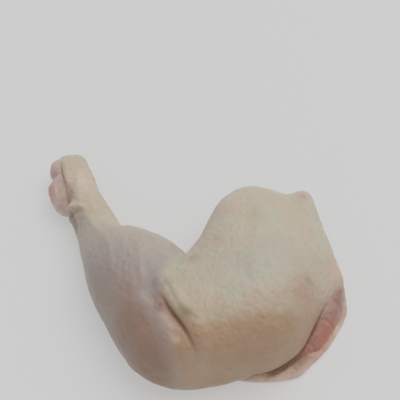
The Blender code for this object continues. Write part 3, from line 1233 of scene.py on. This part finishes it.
    def marks(self) -> dict[Tint, tuple[Stroke, ...]]:
        """The blushes, fat and bruises that show one by one, and strokes of painted shade and painted light.

        Returns:
            Their strokes by tint, each with its share of the colour.
        """
        return {
            Tint.DARK: (
                Stroke(self.crease, 1.0, 0.85, 1.6),
                Stroke(self.fold_edge, 0.8, 0.25),
                Stroke(self.shank_groove, 1.1, 1.0, 0.6),
                dab(-16.9, -36.8, 0.7, 0.7),
                dab(-5.5, -42.0, 1.7, 0.15),
            ),
            # Brown: painted shade along the crease and under the collar fold, and brown by the ankle's skin
            # edge and on the calf.
            Tint.BROWN: (
                Stroke(self.crease, 3.2, 0.9),
                Stroke(PlanLine(((-65.4, 41.5), (-64.9, 37.8), (-64.0, 34.0), (-62.6, 31.4))), 3.2, 0.85),
                Stroke(PlanLine(((-63.2, 29.2), (-59.5, 26.8), (-56.0, 25.4))), 1.9, 0.5, 1.2),
                dab(-32.0, -45.0, 11.0, 0.28),
            ),
            # Olive: painted shade at the end of the thigh's fold edge, and a patch of yellow fat on the
            # thigh.
            Tint.OLIVE: (
                Stroke(PlanLine(((-9.0, -38.0), (-6.5, -41.2), (-3.4, -44.6))), 2.2, 0.7),
                dab(24.5, 7.0, 4.5, 0.25),
            ),
            # Warm: more painted shade by the knee's front and on the thigh's right front.
            Tint.WARM_SHADE: (
                Stroke(PlanLine(((-4.8, -50.0), (-2.5, -54.5), (-0.8, -58.5))), 3.0, 0.9),
                dab(-12.5, -48.5, 3.5, 0.3),
                dab(38.5, -25.0, 12.0, 0.26),
                dab(-2.5, -56.5, 8.0, 0.75),
            ),
            Tint.PINK: (
                Stroke(PlanLine(((-66.0, 43.0), (-65.0, 37.8), (-64.0, 33.5))), 3.4, 0.4),
                Stroke(self.skin_edge, 2.0, 0.45),
                Stroke(PlanLine(((-20.0, -40.0), (-16.5, -45.5), (-12.5, -50.0))), 2.2, 0.3),
                dab(-24.6, -47.5, 2.6, 0.5),
                dab(43.5, -31.5, 6.5, 0.5),
                dab(48.5, 26.5, 3.0, 0.45),
                dab(-55.5, 25.0, 5.5, 0.3),
                dab(8.0, -4.0, 4.5, 0.25),
            ),
            # Pale: pale fat, folds and streaks, and painted light in the band inside the lip.
            Tint.PALE: (
                Stroke(self.collar_fold, 1.3, 0.85),
                Stroke(
                    PlanLine(((-25.8, -28.8), (-24.2, -31.2), (-22.0, -34.6), (-20.4, -37.0))),
                    1.5, 0.45,
                ),
                Stroke(
                    PlanLine(((-17.6, -39.6), (-15.8, -42.4), (-13.6, -46.8), (-11.4, -51.5))),
                    2.0, 0.55,
                ),
                Stroke(PlanLine(((-11.9, -50.6), (-10.3, -52.5), (-8.4, -51.9))), 1.3, 0.5),
                dab(-57.0, 43.0, 8.5, 0.9),
                dab(15.0, 24.0, 12.0, 0.35),
                dab(15.5, 3.0, 9.0, 0.32),
                Stroke(self.lip_margin, 4.0, 0.7, 1.0),
                dab(-1.5, -60.5, 6.0, 0.3),
                *(Stroke(streak, 1.1, 0.2) for streak in self.streaks),
            ),
            Tint.BRUISE: (
                Stroke(PlanLine(((-21.4, -23.6), (-18.4, -27.6), (-15.4, -31.0))), 3.8, 0.6),
                dab(-32.0, -45.0, 9.0, 0.14),
                dab(46.9, -24.7, 1.3, 0.65),
                dab(28.4, -21.6, 1.4, 0.5),
                dab(-3.2, -13.6, 2.2, 0.5),
            ),
            Tint.COOL: (
                dab(17.0, -23.0, 12.0, 0.4),
                dab(33.0, -18.0, 12.0, 0.65),
                dab(-42.0, -33.5, 6.5, 0.2),
            ),
        }

    def masks(self, grid: Grid) -> dict[str, Array]:
        """The tints' masks: broad fields by where a point lies and which way it faces, some of them painted
        shade, then the marks.

        Args:
            grid: The loft's grid, before relief.

        Returns:
            Mask values by attribute name.
        """
        normal = grid.normals()
        outer = -np.cos(grid.angle)
        masks = {tint: np.zeros_like(grid.z) for tint in Tint}
        dark = self.dark_meat(grid)

        # Warm: painted shade, warm brown, down the flanks as they turn from the light, and ever more towards
        # the thigh's front edge and past it, where the top turns down into shade.
        front = self.front_edge.reach(grid)[0] + sum(bumps.on(grid.points) for bumps in self.front_wander)
        front = 0.5 * smooth_step(17.0, 0.0, front) + 0.5 * smooth_step(2.8, -3.4, front)
        flank = smooth_step(0.75, 0.1, normal[..., 2]) * (0.2 + 0.5 * smooth_step(7.0, 10.0, grid.station))
        flank = flank * (1.0 - 0.7 * smooth_step(16.0, 19.2, grid.station))
        masks[Tint.WARM_SHADE] += np.maximum(flank, front) * (1.0 - dark)

        # Lilac: painted shade outside the shank's ridge, where the shank turns from the light; and where
        # dark meat shows through, ever more down the calf.
        by_ridge = smooth_step(1.5, -2.5, self.shank_ridge.reach(grid)[0])
        masks[Tint.LILAC] += 0.6 * by_ridge * smooth_step(3.6, 5.0, grid.station) * (1.0 - dark)
        down_calf = smooth_step(2.0, -18.0, grid.y + 0.35 * (grid.x + 30.0))
        masks[Tint.LILAC] += dark * (0.45 + 0.55 * down_calf)

        # Painted shade on the wall under the lip. Brown dark meat by the knee, less beside the crease, and
        # less where it faces left, as painted light from that side.
        under_lip = smooth_step(15.5, 17.0, grid.station) * smooth_step(12.2, 9.8, grid.z)
        masks[Tint.DARK] += 0.2 * under_lip * smooth_step(0.3, 0.7, outer)
        near_knee = smooth_step(-8.0, -38.0, grid.y + 0.5 * (grid.x + 35.0))
        facing_left = smooth_step(-0.35, -0.9, normal[..., 0])
        beside_crease = 1.0 - 0.75 * bell(self.crease.reach(grid)[0] + 6.0, 6.0)
        masks[Tint.BROWN] += dark * near_knee * beside_crease * (1.0 - 0.6 * facing_left)

        above_waist = smooth_step(-0.3, 0.45, np.sin(grid.angle))
        for tint, strokes in self.marks().items():
            masks[tint] += above_waist * sum(stroke.on(grid) for stroke in strokes)
        named = {tint.value: np.clip(mask, 0.0, 1.0) for tint, mask in masks.items()}
        return {**named, "follicle": self.follicles(grid)}

    def shaped(self, grid: Grid) -> Grid:
        """The grid with the relief on it, and with the thigh's fold pushed over the crease.

        Args:
            grid: The loft's grid.

        Returns:
            The shaped grid.
        """
        raised = super().shaped(grid)
        push = self.overhang.on(raised) * raised.on_top
        return raised.shifted(self.overhang_way[0] * push, self.overhang_way[1] * push)


@dataclass
class AnkleJoint(Piece):
    """The two cartilage lobes of the ankle and the sinew between them."""

    name: str = "ankle_joint"
    slot: str = "cartilage"
    finish: MoistTissue = Cartilage()
    loft: Loft = Loft(
        stations=(
            Station((-68.5, 64.2), (-68.5, 64.2), 9.0, 0.0, 9.0),  # far end
            Station((-63.0, 59.5), (-75.4, 57.0), 16.0, 0.0, 9.0, 0.9),  # upper lobe
            Station((-58.5, 51.0), (-74.5, 50.2), 15.5, 0.0, 8.8, 0.9),  # groove
            Station((-58.0, 43.5), (-75.0, 43.0), 15.8, 0.0, 8.6, 0.9),  # lower lobe
            Station((-59.0, 36.0), (-71.4, 35.4), 13.0, 0.0, 8.2),  # lobe foot
            Station((-64.8, 31.0), (-64.8, 31.0), 8.0, 0.0, 8.0),  # near end
        ),
        rings_per_bay=24,
        crown_steps=60,
        belly_steps=40,
        base=INNER_BASE,
    )
    lumps: Bumps = Bumps(0.5, 6.0, 61)
    strands: Bumps = Bumps(0.3, 2.0, 62, (1.0, 0.4, 1.0))
    groove_wander: Bumps = Bumps(1.2, 7.0, 63)
    groove_y: float = 50.6
    groove_width: float = 2.0
    groove_depth: float = 1.3
    clouds: Bumps = Bumps(1.0, 4.5, 64)

    def relief(self, grid: Grid) -> Array:
        """Soft lumps and fine strands of sinew, with the groove between the lobes."""
        soft = self.lumps.on(grid.points) + self.strands.on(grid.points)
        return soft - self.groove_depth * self._groove(grid)

    def _groove(self, grid: Grid) -> Array:
        """1 along the middle of the groove between the lobes, which wanders a little as it goes down."""
        gap = grid.y - self.groove_y + self.groove_wander.on(grid.points)
        return bell(gap, self.groove_width) * smooth_step(-69.0, -72.5, grid.x)

    def masks(self, grid: Grid) -> dict[str, Array]:
        """Sinew by the skin's edge, blood on the outer side and in the groove, and skin at the far end.

        Args:
            grid: The loft's grid, before relief.

        Returns:
            Mask values by attribute name.
        """
        by_edge = smooth_step(30.0, 40.0, grid.y) * smooth_step(58.0, 47.0, grid.y)
        by_edge = by_edge * bell(grid.x + 67.5, 2.6)
        cloud = self.clouds.on(grid.points)
        outer = smooth_step(-70.5, -75.0, grid.x + 1.5 * cloud) * smooth_step(2.0, 9.0, grid.z + 3.0 * cloud)
        outer = outer * smooth_step(57.0, 47.0, grid.y + 3.0 * cloud)
        outer = np.maximum(outer, 0.8 * self._groove(grid))
        veil = smooth_step(52.0, 58.5, grid.y + 0.25 * (grid.x + 70.0))
        return {"sinew": 0.3 * by_edge, "blood": 0.65 * outer, "skin_veil": 0.75 * veil}


# The skin's lip over the cut, from the front to the side.
LIP = PlanLine(
    ((27.1, -55.6), (35.5, -52.4), (41.9, -47.7), (45.2, -43.9), (50.7, -34.5), (56.0, -25.0), (60.4, -18.8))
)


def by_lip(grid: Grid, inside: Point, front: Point, back: Point) -> Array:
    """Where points lie under or beside the skin's lip: three soft switches, multiplied.

    Args:
        grid: The grid that they lie on.
        inside: Millimetres inside the lip, less than 0 being outside, where it starts and is full.
        front: Shares of the lip's length where it starts and is full, at its front.
        back: The same at its back.

    Returns:
        From 0 to 1 for each point.
    """
    gap, along = LIP.reach(grid)
    return smooth_step(*inside, gap) * smooth_step(*front, along) * smooth_step(*back, along)


@dataclass
class HipCut(Piece):
    """The cut meat that shows between the skin's lip and the skin under it."""

    name: str = "cut_meat"
    slot: str = "meat"
    finish: MoistTissue = CutMeat()
    loft: Loft = Loft(
        stations=(
            Station((20.0, -51.5), (20.0, -51.5), 5.0, 0.0, 5.0),  # front end
            Station((27.0, -42.0), (29.5, -50.4), 4.0, 0.0, 3.0),  # under the lip
            Station((36.0, -38.0), (41.0, -47.6), 5.0, 0.0, 3.0),  # front cut
            Station((42.0, -32.0), (50.0, -42.6), 8.0, 0.0, 4.0),  # dark cut
            Station((46.0, -24.0), (58.0, -35.4), 10.5, 0.0, 5.5),  # red cut
            Station((50.0, -14.0), (64.4, -25.3), 14.0, 0.0, 6.5),  # upper cut
            Station((54.0, -4.0), (67.2, -14.0), 16.0, 0.0, 7.0),  # rump
            Station((63.0, -2.0), (63.0, -2.0), 7.0, 0.0, 7.0),  # back end
        ),
        rings_per_bay=26,
        crown_steps=80,
        belly_steps=30,
        base=INNER_BASE,
    )
    tendon: PlanLine = PlanLine(((51.8, -31.0), (54.8, -26.6), (58.0, -21.6), (60.8, -16.6)))
    red_edge: PlanLine = PlanLine(((49.0, -43.5), (54.6, -39.6), (59.6, -32.0), (62.4, -27.0)))
    rump_line: PlanLine = PlanLine(((60.5, -28.0), (63.4, -21.5), (65.0, -15.0), (64.6, -9.0)))
    bundle_edges: tuple[PlanLine, ...] = (
        PlanLine(((52.0, -29.5), (56.5, -29.0), (60.5, -31.5), (63.5, -35.0))),
        PlanLine(((47.0, -38.5), (51.0, -40.5), (55.0, -44.0))),
        PlanLine(((59.0, -19.0), (62.5, -21.5), (66.0, -25.5))),
    )
    muscle: tuple[Bumps, ...] = (
        Bumps(0.7, 8.0, 71),
        Bumps(0.22, 3.4, 72),
        Bumps(0.08, 1.3, 73, (1.0, 0.3, 1.0)),
    )

    def _under_lip(self, grid: Grid) -> Array:
        """1 from 1.2 mm inside the skin's lip, 0 from 1.4 mm outside it, and 0 at the lip's ends."""
        return by_lip(grid, (-1.4, 1.2), (0.0, 0.08), (1.0, 0.8))

    def relief(self, grid: Grid) -> Array:
        """Muscle bundles parted by narrow grooves, a tendon across them, and a hollow under the lip.

        Args:
            grid: The loft's grid.

        Returns:
            The height of each point, in millimetres.
        """
        lines = Stroke(self.tendon, 1.5, 0.9).on(grid) - 0.9 * self._under_lip(grid)
        lines += sum(Stroke(edge, 0.9, -0.6).on(grid) for edge in self.bundle_edges)
        return sum(bumps.on(grid.points) for bumps in self.muscle) + lines * grid.on_top

    def masks(self, grid: Grid) -> dict[str, Array]:
        """Tissue beside the bundles' edges and over the rump, the pale tendon and rim, and the reds.

        Args:
            grid: The loft's grid, before relief.

        Returns:
            Mask values by attribute name.
        """
        tissue = sum(Stroke(edge, 1.1, 0.3, offset=1.4).on(grid) for edge in self.bundle_edges)
        tissue += 0.6 * smooth_step(-32.0, -22.0, grid.y)
        rim = smooth_step(63.5, 67.0, grid.x) * smooth_step(-30.0, -24.0, grid.y)
        return {
            "tissue": np.clip(tissue, 0.0, 1.0),
            "rump": Stroke(self.rump_line, 2.8, 0.7).on(grid),
            "pale_rim": np.maximum(0.8 * rim, Stroke(self.tendon, 1.6, 0.45).on(grid)),
            "raw_edge": Stroke(self.red_edge, 2.2, 0.6).on(grid),
            "lip_shade": 0.5 * self._under_lip(grid),
        }


@dataclass
class UnderSkin(Piece):
    """The flap of skin that lies on the table under the cut meat."""

    name: str = "under_skin"
    slot: str = "skin"
    finish: MoistTissue = FattySkin()
    loft: Loft = Loft(
        stations=(
            Station((14.0, -53.0), (14.0, -53.0), 1.8, 0.0, 1.8),  # front end
            Station((22.0, -46.0), (26.0, -55.4), 4.6, 0.0, 2.0),  # front fold
            Station((34.0, -42.0), (42.5, -53.6), 5.6, 0.0, 2.2),  # front rim
            Station((42.0, -36.0), (50.2, -47.4), 5.0, 0.0, 2.2),  # corner rim
            Station((48.0, -26.0), (59.8, -36.8), 3.2, 0.0, 1.8),  # middle rim
            Station((54.0, -14.0), (66.6, -24.8), 3.6, 0.0, 1.8),  # side rim
            Station((58.0, -6.0), (68.8, -14.5), 4.0, 0.0, 1.8),  # rump rim
            Station((63.0, 0.0), (63.0, 0.0), 1.8, 0.0, 1.8),  # back end
        ),
        rings_per_bay=22,
        crown_steps=48,
        belly_steps=24,
        base=INNER_BASE,
    )
    blood_line: PlanLine = PlanLine(((44.0, -48.5), (51.0, -44.5), (56.5, -39.0), (61.5, -31.0)))
    ripples: tuple[Bumps, ...] = (Bumps(0.75, 6.0, 81), Bumps(0.3, 2.4, 82))

    def _under_lip(self, grid: Grid) -> Array:
        """1 from 0.8 mm inside the skin's lip, 0 from 1 mm outside it, and 0 at the lip's ends."""
        return by_lip(grid, (-1.0, 0.8), (0.0, 0.12), (1.0, 0.9))

    def relief(self, grid: Grid) -> Array:
        """Soft ripples of a loose edge, lower under the lip."""
        ripples = sum(bumps.on(grid.points) for bumps in self.ripples)
        return ripples - 0.8 * self._under_lip(grid) * grid.on_top

    def masks(self, grid: Grid) -> dict[str, Array]:
        """Blood where the meat rests on it, and shade under the lip, in front of it and at the side.

        Args:
            grid: The loft's grid, before relief.

        Returns:
            Mask values by attribute name.
        """
        beside_lip = by_lip(grid, (-5.5, -2.0), (0.15, 0.4), (0.75, 0.6))
        side = smooth_step(-30.0, -24.0, grid.y)
        shade = np.maximum.reduce([self._under_lip(grid), 0.8 * beside_lip, 0.35 * side])
        return {"blood": Stroke(self.blood_line, 2.6, 0.5).on(grid), "lip_shade": shade}


# --------------------------------------------------------------------------------------------- studio


@dataclass(frozen=True)
class Studio:
    """A pale table, soft light from above, a little to the right and behind, and the camera.

    Attributes:
        elevation: The camera's height over the table's plane, in degrees, seen from its target.
        distance: From the camera to its target, in metres.
        lens: The camera's focal length, in millimetres.
        sensor: Width of its sensor, in millimetres.
        target: What the camera looks at, in the drawing's millimetres.
        sun: Direction towards the light.
        sun_strength: The light's strength.
        sun_spread: How wide the light is, in degrees; wide light makes soft shadows.
        ambient: Strength of the light from all round.
        table: The table's finish.
        table_half: Half the table's side, in metres.
    """

    elevation: float = 55.0
    distance: float = 0.505
    lens: float = 90.0
    sensor: float = 36.0
    target: tuple[float, float, float] = (0.0, 45.0, 0.0)
    sun: tuple[float, float, float] = (0.32, 0.30, 0.90)
    sun_strength: float = 1.05
    sun_spread: float = 55.0
    ambient: float = 0.445
    table: LitTable = LitTable()
    table_half: float = 3.0

    def build(self, place: Vector) -> None:
        """Makes the table, the light and the camera.

        Args:
            place: What is added to the drawing's millimetres to reach the solid's frame.
        """
        self._table()
        self._light()
        self._camera(place)

    def _table(self) -> None:
        """A square sheet in the plane that the leg rests on."""
        side = np.array([-self.table_half, self.table_half])
        x, y = np.meshgrid(side, side)
        corners = np.stack([x.ravel(), y.ravel(), np.zeros(4)], axis=-1)
        mesh = bpy.data.meshes.new("table")
        mesh.from_pydata(corners.tolist(), [], [(0, 1, 3, 2)])
        mesh.materials.append(self.table.build())
        table = bpy.data.objects.new("table", mesh)
        bpy.context.scene.collection.objects.link(table)

    def _light(self) -> None:
        """One wide, soft light from the sun's direction, and even light from all round."""
        scene = bpy.context.scene
        lamp = bpy.data.lights.new("window", "SUN")
        lamp.energy = self.sun_strength
        lamp.angle = np.radians(self.sun_spread)
        window = bpy.data.objects.new("window", lamp)
        window.rotation_mode = "QUATERNION"
        window.rotation_quaternion = Vector(self.sun).to_track_quat("Z", "Y")
        scene.collection.objects.link(window)
        world = bpy.data.worlds.new("room")
        world.use_nodes = True
        background = world.node_tree.nodes["Background"]
        background.inputs["Color"].default_value = (1.0, 1.0, 1.0, 1.0)
        background.inputs["Strength"].default_value = self.ambient
        scene.world = world
        scene.view_settings.view_transform = "Standard"

    def _camera(self, place: Vector) -> None:
        """A camera that looks along +Y and down, at the target.

        Args:
            place: What is added to the drawing's millimetres to reach the solid's frame.
        """
        tilt = np.radians(self.elevation)
        ahead = Vector((0.0, np.cos(tilt), -np.sin(tilt)))
        target = (Vector(self.target) + Vector((place.x, place.y, 0.0))) * MM
        data = bpy.data.cameras.new("camera")
        data.lens = self.lens
        data.sensor_width = self.sensor
        camera = bpy.data.objects.new("camera", data)
        turn = ahead.to_track_quat("-Z", "Y").to_matrix().to_4x4()
        camera.matrix_world = Matrix.Translation(target - ahead * self.distance) @ turn
        bpy.context.scene.collection.objects.link(camera)
        bpy.context.scene.camera = camera


def drawing_place(grids: list[Grid]) -> Vector:
    """What moves the drawing onto the solid: the step between the middles of their boxes in plan.

    Args:
        grids: The smooth lofts of all pieces, in the drawing's millimetres.

    Returns:
        The step, in millimetres.
    """
    low = np.min([grid.points.min(axis=(0, 1)) for grid in grids], axis=0)
    high = np.max([grid.points.max(axis=(0, 1)) for grid in grids], axis=0)
    cad_low, cad_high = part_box(LEG_NODE)
    middle = (cad_low + cad_high) / (2 * MM)
    return Vector((middle.x - (low[0] + high[0]) / 2, middle.y - (low[1] + high[1]) / 2, cad_low.z / MM))


def main() -> None:
    """Builds every piece in turn, then the studio round them."""
    pieces = (LegSkin(), AnkleJoint(), HipCut(), UnderSkin())
    grids = [piece.loft.grid() for piece in pieces]
    place = drawing_place(grids)
    log.info("drawing to solid: %.2f, %.2f mm", place.x, place.y)
    for piece, grid in zip(pieces, grids):
        dressed = piece.build(grid, place)
        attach(dressed, BODY)
        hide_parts(LEG_NODE)
        log.info("%s: %d faces", dressed.name, len(dressed.data.polygons))
    Studio().build(place)


if __name__ == "__main__":
    logging.basicConfig(level=logging.INFO)
    main()
